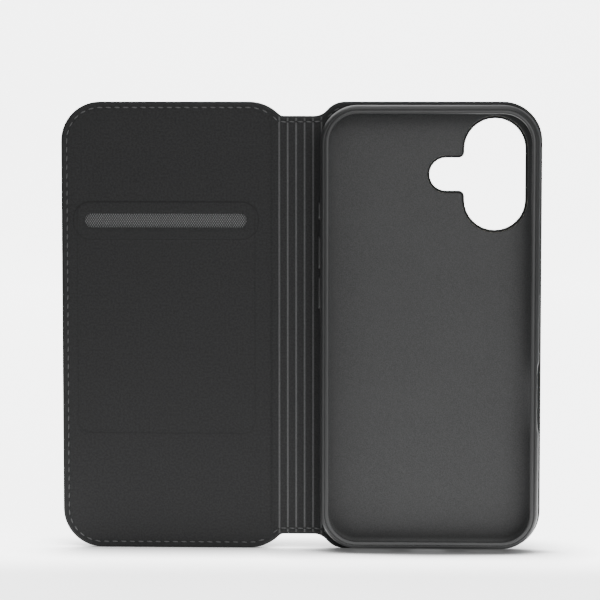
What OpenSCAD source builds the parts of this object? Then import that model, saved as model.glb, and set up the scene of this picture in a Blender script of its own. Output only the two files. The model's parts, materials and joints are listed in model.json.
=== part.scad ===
// Book-style wallet case for a phone, opened flat and standing on its bottom edge.
// X runs along the open case, from the front flap (-X) to the phone tray (+X).
// Y is the thickness: the outer skin is on the +Y side, the tray opens towards -Y. Z is up.
// "Depth" below always means the distance from the outer face of the skin, inwards.

/* [Cover] */
// Height of the cover, along the folds
cover_h = 152; // [140:1:175]
// Width of the front flap, from its free edge to the first fold
flap_w = 71.1; // [68:0.1:80]
// Width of the tray half, from the last fold to its free edge
back_w = 74.3; // [74:0.1:82]
// Distance between two neighbouring folds of the spine
fold_pitch = 2.85; // [2.8:0.05:3.2]
// Corner radius of the two free edges
corner_r = 13.3; // [8:0.1:16]
// How far the spine is cut in at the top and at the bottom
notch_d = 4.8; // [3:0.1:6]

/* [Layers] */
// Thickness of the outer skin
skin_t = 0.6; // [0.5:0.05:0.7]
// Thickness of the stiffening boards
board_t = 0.5; // [0.4:0.05:0.6]
// Thickness of the lining on the flap and the spine
lining_t = 0.4; // [0.3:0.05:0.5]
// Height of the card pocket when it is empty
pocket_t = 0.3; // [0.2:0.05:0.35]
// Thickness of the lining under the tray
underlay_t = 0.2; // [0.15:0.05:0.3]
// Thickness of the glue film under the tray
film_t = 0.1; // [0.05:0.05:0.15]
// Width of the skin's turned-in hem
hem_w = 2.6; // [2:0.1:4]

/* [Tray] */
// Width of the phone
phone_w = 71.6; // [70:0.1:72]
// Height of the phone
phone_h = 147.6; // [144:0.1:150]
// Thickness of the phone
phone_t = 7.8; // [7:0.1:7.9]
// Thickness of the tray's floor
floor_t = 0.9; // [0.8:0.05:1]
// Thickness of the tray's side walls
wall_t = 1; // [0.9:0.05:1.1]
// Thickness of the lip over the screen
lip_t = 1; // [0.8:0.05:1.05]
// Reach of the lip over the screen's long sides
lip_side = 2; // [1.2:0.1:2.4]
// Reach of the lip over the screen's short sides
lip_end = 1.9; // [0.6:0.1:2.2]
// Distance from the last fold to the middle of the tray
tray_offset = 36.55; // [36.5:0.05:37]

/* [Camera opening] */
// Radius of the tall opening's round ends
cam_r = 10.25; // [9:0.05:11]
// Length of the tall opening
cam_len = 37.6; // [34:0.1:40]
// Radius of the side opening's round end
cam_side_r = 5.55; // [4:0.05:6]
// Distance from the tall opening's middle to the centre of the side opening
cam_side_dx = 16.4; // [15:0.1:17]
// Fillet between the two openings
cam_fillet = 1.9; // [1:0.1:2.5]
// Width of the cover's edge that shows inside the tray's opening
cam_ledge = 0.8; // [0.3:0.1:0.9]

/* [Card pocket] */
// Width of the slot
slot_w = 55; // [54.5:0.5:58]
// Height of the slot
slot_h = 4.9; // [4:0.1:6]
// Height of the slot's middle above the base
slot_z = 111.8; // [100:0.1:120]
// Width of the reinforcement round the slot
ring_w = 62.8; // [60:0.1:66]
// Height of the reinforcement round the slot
ring_h = 12.7; // [10:0.1:15]
// Width of the pocket
pocket_w = 60.3; // [58:0.1:62]
// Height of the pocket's bottom above the base
pocket_z = 39.4; // [30:0.1:45]

/* [Buttons] */
// Clearance round a button pad
pad_gap = 0.25; // [0.2:0.05:0.4]
// How far a pad stands out from the wall
pad_rise = 0.45; // [0.3:0.05:0.5]
// Width of a pad, through the thickness of the case
pad_w = 3.2; // [2.6:0.1:3.6]

/* [Stitching] */
// Distance from the edge to the stitch line
stitch_inset = 1.9; // [1.5:0.1:2.4]
// Distance between two stitches
stitch_pitch = 3; // [2.5:0.1:4]
// Length of the thread that shows in one stitch
stitch_len = 1.9; // [1.4:0.1:2.2]
// Width of the thread
thread_w = 0.4; // [0.3:0.05:0.5]
// How far the thread stands out of the surface
thread_t = 0.15; // [0.1:0.05:0.2]

/* [Hidden] */
$fn = 48;
eps = 0.01;
strips = 6;
arc_steps = 8;

// Places along X
total_w = flap_w + strips * fold_pitch + back_w;
flap_x = -total_w / 2;
end_x = total_w / 2;
fold_x = [for (k = [0:strips]) end_x - back_w - k * fold_pitch];
flap_mid = (flap_x + fold_x[strips]) / 2;
tray_x = fold_x[0] + tray_offset;

// Half the open joint between two strips, and between a strip and the flap or the tray half
strip_gap = 0.3;
edge_gap = 0.4;

// Depths of the layers, from the outer face inwards
board_d = skin_t;
flap_pocket_d = skin_t + board_t;
flap_lining_d = flap_pocket_d + pocket_t;
flap_face_d = flap_lining_d + lining_t;
spine_face_d = skin_t + lining_t;
underlay_d = skin_t + board_t;
film_d = underlay_d + underlay_t;
tray_d = film_d + film_t;
phone_gap = 0.1;
cavity_d = tray_d + floor_t;
lip_d = cavity_d + phone_t + phone_gap;
front_d = lip_d + lip_t;
outer_y = front_d / 2;

// The curves that lead from the full height down into the spine's notch
flap_shoulder_x = -17.6;
flap_shoulder_r = 14.5;
flap_fillet_r = 2.5;
back_shoulder_x = 14.9;
back_shoulder_r = 8;
back_fillet_r = 5.9;

// Tray outline
cavity_w = phone_w + phone_gap;
cavity_h = phone_h + phone_gap;
cavity_r = 11.6;
tray_mid_z = cover_h / 2;
wall_d = (cavity_d + lip_d) / 2;
left_wall_x = tray_x - cavity_w / 2 - wall_t;
right_wall_x = tray_x + cavity_w / 2 + wall_t;

// Steps of the tray's rounded outside: start depth, end depth, inset from its widest outline
outer_steps = [
    [tray_d, tray_d + 0.7, 0.8],
    [tray_d + 0.7, tray_d + 1.6, 0.3],
    [tray_d + 1.6, lip_d - 1.8, 0],
    [lip_d - 1.8, lip_d - 0.9, 0.3],
    [lip_d - 0.9, lip_d, 0.8],
    [lip_d, front_d, 1.5]
];
// Steps of the space for the phone: start depth, end depth, inset from the phone's outline
inner_steps = [
    [cavity_d, cavity_d + 0.8, 0.6],
    [cavity_d + 0.8, lip_d - 1.1, 0],
    [lip_d - 1.1, lip_d, 0.7]
];

// Camera opening, measured from the top and the free side of the phone
cam_x = tray_x + cavity_w / 2 - 14.05;
cam_z = tray_mid_z + cavity_h / 2 - 22.25;

// Button pads and wall openings, by their middle height and length
action_z = 115.3;
action_len = 5.8;
volume_up_z = 101.3;
volume_down_z = 87.8;
volume_len = 10.9;
side_button_z = 95.2;
side_button_len = 17;
control_z = 52.9;
control_len = 19.5;
control_w = 5;
port_w = 12.5;
port_h = 5.6;
speaker_w = 13;
speaker_h = 2.4;
speaker_dx = 19;

// Width of the pressed channel along the stitch line
channel_w = thread_w + 0.3;

// Card pocket
hem_edge = 0.7;
pocket_r = 4;
pocket_top = slot_z + ring_h / 2;
mesh_t = pocket_t / 2;

// ---------- curves ----------

// Points of an arc round c, from angle a0 to angle a1
function arc(c, r, a0, a1, n = arc_steps) =
    [for (i = [0:n]) let (a = a0 + (a1 - a0) * i / n) [c[0] + r * cos(a), c[1] + r * sin(a)]];

// Points mirrored top to bottom, in reverse order
function flipped(pts) = [for (i = [len(pts) - 1:-1:0]) [pts[i][0], cover_h - pts[i][1]]];

// Angle through which a shoulder of radius big turns before the fillet of radius small takes over
function shoulder_angle(big, small) = acos(1 - notch_d / (big + small));

// Top edge from the flap's shoulder down to the spine, inset by e
function flap_slope(e) =
    let (a = shoulder_angle(flap_shoulder_r, flap_fillet_r),
         reach = (flap_shoulder_r + flap_fillet_r) * sin(a))
    concat(
        arc([flap_shoulder_x, cover_h - flap_shoulder_r], flap_shoulder_r - e, 90, 90 - a),
        arc([flap_shoulder_x + reach, cover_h - notch_d + flap_fillet_r], flap_fillet_r + e, 270 - a, 270, 4)
    );

// Top edge from the spine up to the tray half's shoulder, inset by e
function back_slope(e) =
    let (a = shoulder_angle(back_shoulder_r, back_fillet_r),
         reach = (back_shoulder_r + back_fillet_r) * sin(a))
    concat(
        arc([back_shoulder_x - reach, cover_h - notch_d + back_fillet_r], back_fillet_r + e, 270, 270 + a, 4),
        arc([back_shoulder_x, cover_h - back_shoulder_r], back_shoulder_r - e, 90 + a, 90)
    );

// Whole top edge of the open cover, from the flap's corner to the far corner, inset by e
function top_edge(e) = concat(
    arc([flap_x + corner_r, cover_h - corner_r], corner_r - e, 180, 90),
    flap_slope(e),
    back_slope(e),
    arc([end_x - corner_r, cover_h - corner_r], corner_r - e, 90, 0)
);

// ---------- flat outlines, in X and Z ----------

module cover_outline(e = 0) {
    polygon(concat(top_edge(e), flipped(top_edge(e))));
}

// The cover between two places along X
module cover_between(x0, x1, e = 0) {
    intersection() {
        cover_outline(e);
        translate([x0, -1]) square([x1 - x0, cover_h + 2]);
    }
}

module rounded_rect(w, h, r) {
    polygon(concat(
        arc([w / 2 - r, h / 2 - r], r, 0, 90),
        arc([r - w / 2, h / 2 - r], r, 90, 180),
        arc([r - w / 2, r - h / 2], r, 180, 270),
        arc([w / 2 - r, r - h / 2], r, 270, 360)
    ));
}

module tray_outline(w, h, r) {
    translate([tray_x, tray_mid_z]) rounded_rect(w, h, r);
}

module camera_outline(e = 0) {
    half = cam_len / 2 - cam_r;
    neck = cam_r + cam_fillet;
    translate([cam_x, cam_z]) polygon(concat(
        arc([0, half], cam_r + e, 0, 180, 16),
        arc([-neck, cam_side_r + cam_fillet], cam_fillet - e, 0, -90, 5),
        arc([-cam_side_dx, 0], cam_side_r + e, 90, 270, 12),
        arc([-neck, -cam_side_r - cam_fillet], cam_fillet - e, 90, 0, 5),
        arc([0, -half], cam_r + e, 180, 360, 16)
    ));
}

// ---------- building steps ----------

// Gives a flat outline thickness, between two depths
module layer(d0, d1) {
    translate([0, outer_y - d0, 0]) rotate([90, 0, 0]) linear_extrude(height = d1 - d0) children();
}

// The shallow channel that the stitches lie in, on the outer face
module stitch_channel() {
    layer(-1, thread_t) difference() {
        cover_outline(stitch_inset - channel_w / 2);
        cover_outline(stitch_inset + channel_w / 2);
    }
}

// A round-ended opening or pad in a side wall, from x0 to x1
module side_slot(x0, x1, z, length, width) {
    translate([x0, outer_y - wall_d, z]) {
        translate([0, -width / 2, (width - length) / 2]) cube([x1 - x0, width, length - width]);
        for (s = [-1, 1]) {
            translate([0, 0, s * (length - width) / 2])
                rotate([0, 90, 0]) cylinder(r = width / 2, h = x1 - x0);
        }
    }
}

// An opening through the tray's left wall
module left_opening(z, length, width) {
    side_slot(left_wall_x - 1, left_wall_x + wall_t + eps, z, length, width);
}

// An opening through the tray's right wall
module right_opening(z, length, width) {
    side_slot(right_wall_x - wall_t - eps, right_wall_x + 1, z, length, width);
}

// An opening in the bottom wall
module bottom_slot(x, w, h) {
    z0 = tray_mid_z - cavity_h / 2 - wall_t - 1;
    translate([x, outer_y - wall_d, z0]) {
        translate([(h - w) / 2, -h / 2, 0]) cube([w - h, h, wall_t + 2]);
        for (s = [-1, 1]) {
            translate([s * (w - h) / 2, 0, 0]) cylinder(r = h / 2, h = wall_t + 2);
        }
    }
}

// One stitch lying on the surface at depth d, centred on p and turned by angle a
module stitch(p, a, d) {
    layer(d, d + thread_t) translate(p) rotate(a) square([stitch_len, thread_w], center = true);
}

// Height of the top stitch line at x
function stitch_z(x) = lookup(x, top_edge(stitch_inset));

// One stitch of the top line at x, and its twin on the bottom line
module stitch_pair(x, d) {
    half = stitch_len / 2;
    slope = atan2(stitch_z(x + half) - stitch_z(x - half), stitch_len);
    stitch([x, stitch_z(x)], slope, d);
    stitch([x, cover_h - stitch_z(x)], -slope, d);
}

// Stitches along a free edge and round its two corners; side is -1 for the flap, 1 for the tray half
module edge_stitches(side, d) {
    r = corner_r - stitch_inset;
    turns = round(r * PI / 2 / stitch_pitch);
    rows = floor((cover_h - 2 * corner_r) / stitch_pitch);
    row_pitch = (cover_h - 2 * corner_r) / rows;
    cx = side * (total_w / 2 - corner_r);
    for (i = [0:turns - 1]) {
        a = (i + 0.5) * 90 / turns;
        for (v = [-1, 1]) {
            p = [cx + side * r * cos(a), tray_mid_z + v * (tray_mid_z - corner_r + r * sin(a))];
            stitch(p, 90 + side * v * a, d);
        }
    }
    for (i = [0:rows - 1]) {
        stitch([cx + side * r, corner_r + (i + 0.5) * row_pitch], 90, d);
    }
}

// ---------- front flap ----------

module flap_skin() {
    inner_x = fold_x[strips] - edge_gap;
    color([0.10, 0.10, 0.11]) {
        difference() {
            layer(0, skin_t) cover_between(flap_x, inner_x);
            stitch_channel();
        }
        layer(skin_t, flap_pocket_d) difference() {
            cover_between(flap_x, inner_x);
            cover_between(flap_x, inner_x + 1, hem_w);
        }
        layer(flap_pocket_d, flap_face_d - thread_t) difference() {
            cover_between(flap_x, inner_x);
            cover_between(flap_x, inner_x + 1, hem_edge);
        }
    }
}

module flap_board() {
    color([0.45, 0.42, 0.38])
        layer(board_d, flap_pocket_d) cover_between(flap_x, fold_x[strips] - edge_gap, hem_w);
}

// Outline of the card pocket, which is closed at its sides and bottom by the glue sheet
module pocket_outline(e = 0) {
    h = pocket_top - pocket_z;
    translate([flap_mid, pocket_z + h / 2]) rounded_rect(pocket_w - 2 * e, h - 2 * e, pocket_r);
}

module racetrack(w, h) {
    translate([flap_mid, slot_z]) rounded_rect(w, h, h / 2 - eps);
}

module flap_glue_sheet() {
    color([0.60, 0.58, 0.50]) layer(flap_pocket_d, flap_lining_d) difference() {
        cover_between(flap_x, fold_x[strips] - edge_gap, hem_edge);
        pocket_outline();
        racetrack(ring_w, ring_h);
    }
}

module pocket_mesh() {
    color([0.45, 0.45, 0.46]) layer(flap_pocket_d, flap_pocket_d + mesh_t) pocket_outline();
}

module slot_reinforcement() {
    color([0.20, 0.20, 0.21]) layer(flap_pocket_d + mesh_t, flap_lining_d) difference() {
        racetrack(ring_w, ring_h);
        racetrack(slot_w, slot_h);
    }
}

module flap_lining() {
    color([0.18, 0.18, 0.18]) layer(flap_lining_d, flap_face_d) difference() {
        cover_between(flap_x, fold_x[strips] - edge_gap, hem_edge);
        racetrack(slot_w, slot_h);
    }
}

// The thread shows on the lining and, in its channel, on the outer skin
module flap_stitches() {
    first = flap_x + corner_r + stitch_pitch / 2;
    last = fold_x[strips] - edge_gap - stitch_pitch / 2;
    color([0.30, 0.30, 0.31]) for (d = [0, flap_face_d]) {
        edge_stitches(-1, d);
        for (x = [first:stitch_pitch:last]) {
            stitch_pair(x, d);
        }
    }
}

// ---------- spine ----------

// Strip k lies between fold k, nearer the tray, and fold k + 1
module spine_strip(k, d0, d1) {
    layer(d0, d1) cover_between(fold_x[k] + strip_gap, fold_x[k - 1] - strip_gap);
}

module spine_skin(k) {
    color([0.10, 0.10, 0.11]) difference() {
        spine_strip(k, 0, skin_t);
        stitch_channel();
    }
}

module spine_lining(k) {
    color([0.16, 0.16, 0.16]) spine_strip(k, skin_t, spine_face_d);
}

module spine_stitches(k) {
    color([0.30, 0.30, 0.31]) for (d = [0, spine_face_d]) {
        stitch_pair((fold_x[k] + fold_x[k - 1]) / 2, d);
    }
}

// ---------- tray half ----------

module back_skin() {
    first_x = fold_x[0] + edge_gap;
    color([0.10, 0.10, 0.11]) {
        difference() {
            layer(0, skin_t) cover_between(first_x, end_x);
            layer(-1, skin_t + 1) camera_outline();
            stitch_channel();
        }
        layer(skin_t, underlay_d) difference() {
            cover_between(first_x, end_x);
            cover_between(first_x - 1, end_x, hem_w);
        }
    }
}

module back_board() {
    color([0.45, 0.42, 0.38]) layer(board_d, underlay_d) difference() {
        cover_between(fold_x[0] + edge_gap, end_x, hem_w);
        camera_outline();
    }
}

module back_lining() {
    color([0.16, 0.16, 0.16]) layer(underlay_d, film_d) difference() {
        cover_between(fold_x[0] + edge_gap, end_x, hem_edge);
        camera_outline();
    }
}

// The thread shows all round on the outer skin, and inside only where the tray leaves it free
module back_stitches() {
    first = fold_x[0] + edge_gap + stitch_pitch / 2;
    last = end_x - corner_r;
    color([0.30, 0.30, 0.31]) {
        edge_stitches(1, 0);
        for (x = [first:stitch_pitch:last]) {
            stitch_pair(x, 0);
        }
        for (x = [first, first + stitch_pitch]) {
            stitch_pair(x, film_d);
        }
    }
}

module tray_glue_film() {
    color([0.60, 0.58, 0.50]) layer(film_d, tray_d) difference() {
        tray_outline(cavity_w - 2, cavity_h - 2, cavity_r - 1);
        camera_outline(cam_ledge);
    }
}

module tray_shell() {
    w = cavity_w + 2 * wall_t;
    h = cavity_h + 2 * wall_t;
    r = cavity_r + wall_t;
    pad_depth = pad_w + 2 * pad_gap;
    color([0.16, 0.16, 0.17]) difference() {
        for (s = outer_steps) {
            layer(s[0], s[1]) tray_outline(w - 2 * s[2], h - 2 * s[2], r - s[2]);
        }
        for (s = inner_steps) {
            layer(s[0], s[1]) tray_outline(cavity_w - 2 * s[2], cavity_h - 2 * s[2], cavity_r - s[2]);
        }
        layer(lip_d - eps, front_d + 1)
            tray_outline(cavity_w - 2 * lip_side, cavity_h - 2 * lip_end, cavity_r - lip_side);
        layer(tray_d - 1, cavity_d + 1) camera_outline(cam_ledge);
        left_opening(action_z, action_len + 2 * pad_gap, pad_depth);
        left_opening(volume_up_z, volume_len + 2 * pad_gap, pad_depth);
        left_opening(volume_down_z, volume_len + 2 * pad_gap, pad_depth);
        right_opening(side_button_z, side_button_len + 2 * pad_gap, pad_depth);
        right_opening(control_z, control_len, control_w);
        bottom_slot(tray_x, port_w, port_h);
        for (s = [-1, 1]) {
            bottom_slot(tray_x + s * speaker_dx, speaker_w, speaker_h);
        }
    }
}

// A pad on the left wall: it fills its opening and stands out a little
module left_pad(z, length) {
    color([0.14, 0.14, 0.15])
        side_slot(left_wall_x - pad_rise, left_wall_x + wall_t - pad_gap, z, length, pad_w);
}

module action_button_pad() {
    left_pad(action_z, action_len);
}

module volume_up_pad() {
    left_pad(volume_up_z, volume_len);
}

module volume_down_pad() {
    left_pad(volume_down_z, volume_len);
}

module side_button_pad() {
    inner_x = right_wall_x - wall_t + pad_gap;
    color([0.14, 0.14, 0.15])
        side_slot(inner_x, right_wall_x + pad_rise, side_button_z, side_button_len, pad_w);
}

flap_skin();
flap_board();
flap_glue_sheet();
pocket_mesh();
slot_reinforcement();
flap_lining();
flap_stitches();
for (k = [1:strips]) {
    spine_skin(k);
    spine_lining(k);
    spine_stitches(k);
}
back_skin();
back_board();
back_lining();
back_stitches();
tray_glue_film();
tray_shell();
action_button_pad();
volume_up_pad();
volume_down_pad();
side_button_pad();
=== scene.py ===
"""A phone wallet case: a flap with a card pocket, a folding spine and a back cover with a phone tray."""

import sys
import json
import logging
import math
from dataclasses import dataclass, field
from enum import Enum
from typing import Iterable, Sequence

import bmesh
import bpy
from mathutils import Matrix, Vector


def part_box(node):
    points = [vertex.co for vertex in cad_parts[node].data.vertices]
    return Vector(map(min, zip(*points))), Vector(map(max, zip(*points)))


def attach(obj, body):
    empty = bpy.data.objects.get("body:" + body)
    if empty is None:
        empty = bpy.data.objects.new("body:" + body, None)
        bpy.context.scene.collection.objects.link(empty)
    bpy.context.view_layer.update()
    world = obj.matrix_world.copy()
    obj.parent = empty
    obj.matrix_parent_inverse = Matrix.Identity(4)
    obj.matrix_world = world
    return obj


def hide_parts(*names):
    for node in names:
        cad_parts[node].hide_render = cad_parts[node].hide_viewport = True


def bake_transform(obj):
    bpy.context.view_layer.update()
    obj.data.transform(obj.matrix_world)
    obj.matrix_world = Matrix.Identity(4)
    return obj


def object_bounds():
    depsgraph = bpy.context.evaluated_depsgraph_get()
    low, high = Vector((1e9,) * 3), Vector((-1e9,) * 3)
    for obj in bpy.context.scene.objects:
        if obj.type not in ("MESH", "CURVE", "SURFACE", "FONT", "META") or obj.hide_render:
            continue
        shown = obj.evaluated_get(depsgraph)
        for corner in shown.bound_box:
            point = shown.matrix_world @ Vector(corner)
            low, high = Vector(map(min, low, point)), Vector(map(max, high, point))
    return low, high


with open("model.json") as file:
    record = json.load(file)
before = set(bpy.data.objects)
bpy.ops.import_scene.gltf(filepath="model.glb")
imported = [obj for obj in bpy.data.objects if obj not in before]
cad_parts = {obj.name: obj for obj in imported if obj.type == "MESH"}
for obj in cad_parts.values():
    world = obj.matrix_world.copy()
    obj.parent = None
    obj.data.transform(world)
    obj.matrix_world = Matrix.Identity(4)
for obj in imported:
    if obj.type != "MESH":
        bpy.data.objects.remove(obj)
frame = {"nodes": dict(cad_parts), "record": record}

LOG = logging.getLogger("wallet_case")
MM = 0.001
CAD_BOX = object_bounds()
OUTER_Y = CAD_BOX[1].y
Loop = list[bmesh.types.BMEdge]
Profile = Sequence[tuple[float, float]]
MERGE = 2e-6  # metres within which doubled vertices become one
CUT = 1e-7  # metres within which a vertex counts as lying on a cutting plane
SHARP_DEG = 38.0  # angle above which an edge stays sharp
FLAT_UV = 0.2  # metres of cover in one unit of its flat map
FOLDS = 7  # folds of the spine, numbered from the tray to the flap


# ---------- small tools ----------


def smooth_step(value: float, low: float, high: float) -> float:
    """How far a value has come from low to high, eased at both ends.

    Args:
        value: The value to place.
        low: Where the step starts.
        high: Where the step ends, above or below low.

    Returns:
        A share from 0 to 1.
    """
    share = min(max((value - low) / (high - low), 0.0), 1.0)
    return share * share * (3 - 2 * share)


def spread(low: float, high: float, step: float) -> list[float]:
    """Even places from low to high, no further apart than step."""
    count = max(1, math.ceil((high - low) / step - 1e-6))
    return [low + (high - low) * i / count for i in range(count + 1)]


def depth_of(vertex: bmesh.types.BMVert) -> float:
    """How deep a vertex lies behind the cover's outer face."""
    return OUTER_Y - vertex.co.y


def recalculated(bm: bmesh.types.BMesh) -> None:
    """Merges doubled vertices and turns every face outwards."""
    bmesh.ops.remove_doubles(bm, verts=bm.verts[:], dist=MERGE)
    bmesh.ops.recalc_face_normals(bm, faces=bm.faces[:])


def cut_across(bm: bmesh.types.BMesh, axis: str, places: Iterable[float]) -> None:
    """Cuts a mesh along planes, so that it can bend or take relief there.

    Args:
        bm: The mesh to cut.
        axis: The axis the planes stand across, X or Z.
        places: Where the planes stand along that axis.
    """
    normal = Vector((1, 0, 0)) if axis == "X" else Vector((0, 0, 1))
    for place in places:
        geom = bm.verts[:] + bm.edges[:] + bm.faces[:]
        bmesh.ops.bisect_plane(bm, geom=geom, dist=CUT, plane_co=normal * place, plane_no=normal)


def cut_off(bm: bmesh.types.BMesh, x: float, keep_right: bool) -> None:
    """Cuts a closed mesh at a plane across X, drops one side and closes the cut.

    Args:
        bm: The mesh to cut.
        x: Where the plane stands.
        keep_right: Whether the side of larger X is the one that stays.
    """
    geom = bm.verts[:] + bm.edges[:] + bm.faces[:]
    done = bmesh.ops.bisect_plane(
        bm, geom=geom, dist=CUT, plane_co=(x, 0, 0), plane_no=(1, 0, 0),
        clear_inner=keep_right, clear_outer=not keep_right,
    )
    rim = [g for g in done["geom_cut"] if isinstance(g, bmesh.types.BMEdge)]
    bmesh.ops.holes_fill(bm, edges=rim, sides=0)


class Pen:
    """Draws one closed outline of edges at one depth, as straight runs and arcs."""

    def __init__(self, bm: bmesh.types.BMesh, x: float, z: float, depth: float, heading: float = 0.0) -> None:
        """Puts the pen down.

        Args:
            bm: The mesh that takes the edges.
            x: Start along X.
            z: Start along Z.
            depth: Depth behind the cover's outer face.
            heading: First direction, as an angle from +X towards +Z.
        """
        self.bm = bm
        self.heading = heading
        self.tip = bm.verts.new((x, OUTER_Y - depth, z))
        self.drawn: list[bmesh.types.BMVert] = [self.tip]
        self.edges: Loop = []

    def forward(self, length: float) -> "Pen":
        """Draws a straight run and returns the pen.

        Args:
            length: Length of the run.

        Returns:
            The pen.
        """
        grown = bmesh.ops.extrude_vert_indiv(self.bm, verts=[self.tip])
        self.tip = grown["verts"][0]
        self.edges += grown["edges"]
        way = Vector((math.cos(self.heading), 0, math.sin(self.heading)))
        bmesh.ops.translate(self.bm, verts=[self.tip], vec=way * length)
        self.drawn.append(self.tip)
        return self

    def turn(self, degrees: float, radius: float, steps: int) -> "Pen":
        """Draws an arc.

        Args:
            degrees: Angle of the arc, left for a positive one.
            radius: Radius of the arc.
            steps: Number of straight pieces in it.

        Returns:
            The pen.
        """
        angle = math.radians(degrees)
        side = math.copysign(radius, degrees)
        centre = self.tip.co + side * Vector((-math.sin(self.heading), 0, math.cos(self.heading)))
        for _ in range(steps):
            spun = bmesh.ops.spin(
                self.bm, geom=[self.tip], cent=centre, axis=(0, -1, 0), angle=angle / steps, steps=1,
            )
            before = self.tip
            self.tip = next(g for g in spun["geom_last"] if isinstance(g, bmesh.types.BMVert))
            self.edges += [e for e in self.tip.link_edges if before in e.verts]
            self.drawn.append(self.tip)
        self.heading += angle
        return self

    def close(self) -> Loop:
        """Joins the end to the start and returns the outline's edges.

        Returns:
            The outline's edges.
        """
        bmesh.ops.weld_verts(self.bm, targetmap={self.tip: self.drawn[0]})
        self.drawn.pop()
        return [e for e in self.edges if e.is_valid] + [
            e for e in self.drawn[0].link_edges if self.drawn[-1] in e.verts and e not in self.edges
        ]


def loft(bm: bmesh.types.BMesh, loops: Sequence[Loop]) -> None:
    """Joins each outline to the next with a band of faces, held well apart meanwhile so that no band twists.

    Args:
        bm: The mesh that holds them.
        loops: The outlines, in order.
    """
    homes = {v: v.co.copy() for loop in loops for edge in loop for v in edge.verts}
    for number, loop in enumerate(loops):
        verts = list({v for edge in loop for v in edge.verts})
        bmesh.ops.translate(bm, verts=verts, vec=(0, -6 * MM * number - verts[0].co.y, 0))
    for near, far in zip(loops, loops[1:]):
        bmesh.ops.bridge_loops(bm, edges=near + far)
    for vertex, home in homes.items():
        vertex.co = home


def rounded_loop(
    bm: bmesh.types.BMesh, centre: tuple[float, float], width: float, height: float, radius: float,
    depth: float, steps: int = 12,
) -> Loop:
    """Draws a rectangle with round corners.

    Args:
        bm: The mesh that takes it.
        centre: Its middle, along X and Z.
        width: Size along X.
        height: Size along Z.
        radius: Corner radius.
        depth: Depth behind the cover's outer face.
        steps: Straight pieces in each corner.

    Returns:
        The outline's edges.
    """
    pen = Pen(bm, centre[0] - width / 2 + radius, centre[1] - height / 2, depth)
    for run in (width, height, width, height):
        pen.forward(run - 2 * radius).turn(90, radius, steps)
    return pen.close()


def slot_prism(
    bm: bmesh.types.BMesh, centre: Vector, size: tuple[float, float, float], through: str,
    round_rim: float = 0.0,
) -> list[bmesh.types.BMVert]:
    """Adds a block with round ends, as a cutter for a slot or as a pad.

    Args:
        bm: The mesh that takes it.
        centre: Its middle.
        size: Its size along X, Y and Z.
        through: The axis along which its outline doesn't change.
        round_rim: Radius of its outer rims, or 0 for sharp ones.

    Returns:
        The block's vertices.
    """
    known = set(bm.verts)
    axis = "XYZ".index(through)
    across = [s for i, s in enumerate(size) if i != axis]
    matrix = Matrix.Translation(centre) @ Matrix.Diagonal((*size, 1))
    made = bmesh.ops.create_cube(bm, size=1, matrix=matrix)["verts"]
    edges = {e for v in made for e in v.link_edges}
    along = [e for e in edges if abs((e.verts[0].co - e.verts[1].co)[axis]) > size[axis] / 2]
    bmesh.ops.bevel(
        bm, geom=along, offset=min(across) / 2 * 0.995, offset_type="OFFSET", affect="EDGES", segments=7,
        profile=0.5, material=-1, clamp_overlap=True,
    )
    if round_rim:
        new = [v for v in bm.verts if v not in known]
        rims = {
            e for v in new for e in v.link_edges
            if abs((e.verts[0].co - e.verts[1].co)[axis]) < 1e-7
            and len(e.link_faces) == 2 and e.calc_face_angle() > 0.8
        }
        bmesh.ops.bevel(
            bm, geom=list(rims), offset=round_rim, offset_type="OFFSET", affect="EDGES", segments=3,
            profile=0.5, material=-1, clamp_overlap=True,
        )
    return [v for v in bm.verts if v not in known]


def smoothed(bm: bmesh.types.BMesh, sharp_deg: float) -> None:
    """Smooths every face and keeps the creases sharp.

    Args:
        bm: The mesh.
        sharp_deg: Angle above which an edge stays sharp.
    """
    for face in bm.faces:
        face.smooth = True
    for edge in bm.edges:
        edge.smooth = len(edge.link_faces) == 2 and edge.calc_face_angle() < math.radians(sharp_deg)


def finished(
    bm: bmesh.types.BMesh, name: str, materials: Sequence[bpy.types.Material], sharp_deg: float = SHARP_DEG,
) -> bpy.types.Object:
    """Turns a mesh into an object with smooth faces, sharp creases and a flat map of X and Z.

    Args:
        bm: The mesh, which is freed.
        name: The piece's name.
        materials: Its materials, in the order of its faces' material numbers.
        sharp_deg: Angle above which an edge stays sharp.

    Returns:
        The new object, at the origin.
    """
    flat = bm.loops.layers.uv.get("flat") or bm.loops.layers.uv.new("flat")
    for face in bm.faces:
        for loop in face.loops:
            loop[flat].uv = (loop.vert.co.x / FLAT_UV + 0.5, loop.vert.co.z / FLAT_UV)
    smoothed(bm, sharp_deg)
    mesh = bpy.data.meshes.new(name)
    bm.to_mesh(mesh)
    bm.free()
    for material in materials:
        mesh.materials.append(material)
    piece = bpy.data.objects.new(name, mesh)
    bpy.context.scene.collection.objects.link(piece)
    LOG.info("%s: %d faces", name, len(mesh.polygons))
    return piece


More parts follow.
